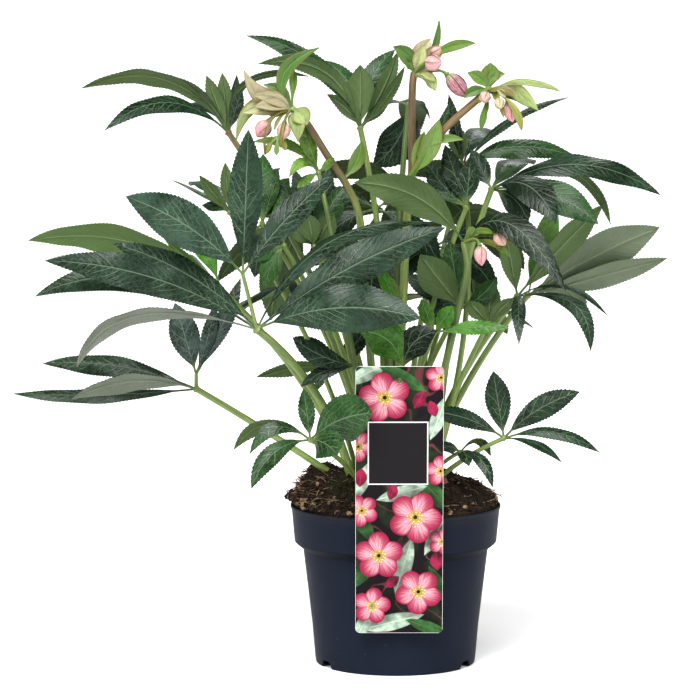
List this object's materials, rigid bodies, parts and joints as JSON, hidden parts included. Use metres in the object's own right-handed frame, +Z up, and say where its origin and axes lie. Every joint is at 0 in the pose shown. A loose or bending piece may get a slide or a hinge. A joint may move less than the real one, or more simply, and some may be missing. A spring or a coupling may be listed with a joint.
{
  "type": "potted lenten rose",
  "caption": "Evergreen hellebore with toothed, hand-shaped leaves and closed pink buds, in a dark nursery pot of peat with a card label hung on the rim.",
  "frame": {"origin": "centre of the pot's flat foot", "axes": "+Z up along the pot's axis; -Y towards the side with the label; +X to the right when the label is seen from the front"},
  "size_m": [0.593, 0.3629, 0.579],
  "materials": {
    "pot_plastic": "satin, dark blue-grey",
    "peat": "matt, fibrous",
    "label_card": null,
    "leaf_green": "leathery, satin",
    "stem_green": "satin",
    "sepal_pink": "soft, matt"
  },
  "bodies": {
    "root": {"pot": "pot_plastic", "soil": "peat", "label": "label_card", "flower_stem_centre": "stem_green", "flower_stem_left": "stem_green", "flowering_shoot_right": "stem_green", "leaf_front_left": "leaf_green", "leaf_lower_left_front": "leaf_green", "leaf_lower_right": "leaf_green", "leaf_low_right_small": "leaf_green", "leaf_lower_left": "leaf_green", "leaf_centre_front": "leaf_green", "leaf_centre_left": "leaf_green", "leaf_right": "leaf_green", "leaf_right_pale": "leaf_green", "leaf_upper_right": "leaf_green", "leaf_top_right": "leaf_green", "leaf_middle_right": "leaf_green", "leaf_upper_left": "leaf_green", "leaf_top_centre": "leaf_green", "leaf_behind_stem": "leaf_green", "leaf_left_pale": "leaf_green", "leaf_middle_left": "leaf_green", "leaf_middle": "leaf_green", "leaf_left_small": "leaf_green", "leaf_left_inner": "leaf_green", "leaf_right_inner": "leaf_green", "leaf_right_middle": "leaf_green", "leaf_centre_small": "leaf_green", "leaf_light_left": "leaf_green", "leaf_low_behind": "leaf_green", "leaf_deep_centre": "leaf_green", "leaf_deep_right": "leaf_green", "leaf_back_right_low": "leaf_green", "leaf_back_right": "leaf_green", "leaf_back_centre": "leaf_green", "leaf_back_centre_low": "leaf_green", "leaf_back_left": "leaf_green", "leaf_back_left_low": "leaf_green", "bud_centre_front": "sepal_pink", "bud_centre_top": "sepal_pink", "bud_centre_drooping": "sepal_pink", "bud_right_upper": "sepal_pink", "bud_right_middle": "sepal_pink", "bud_right_lower": "sepal_pink", "bud_left_front": "sepal_pink", "bud_left_inner": "sepal_pink", "bud_shoot_upper": "sepal_pink", "bud_shoot_lower": "sepal_pink"}
  },
  "joints": []
}
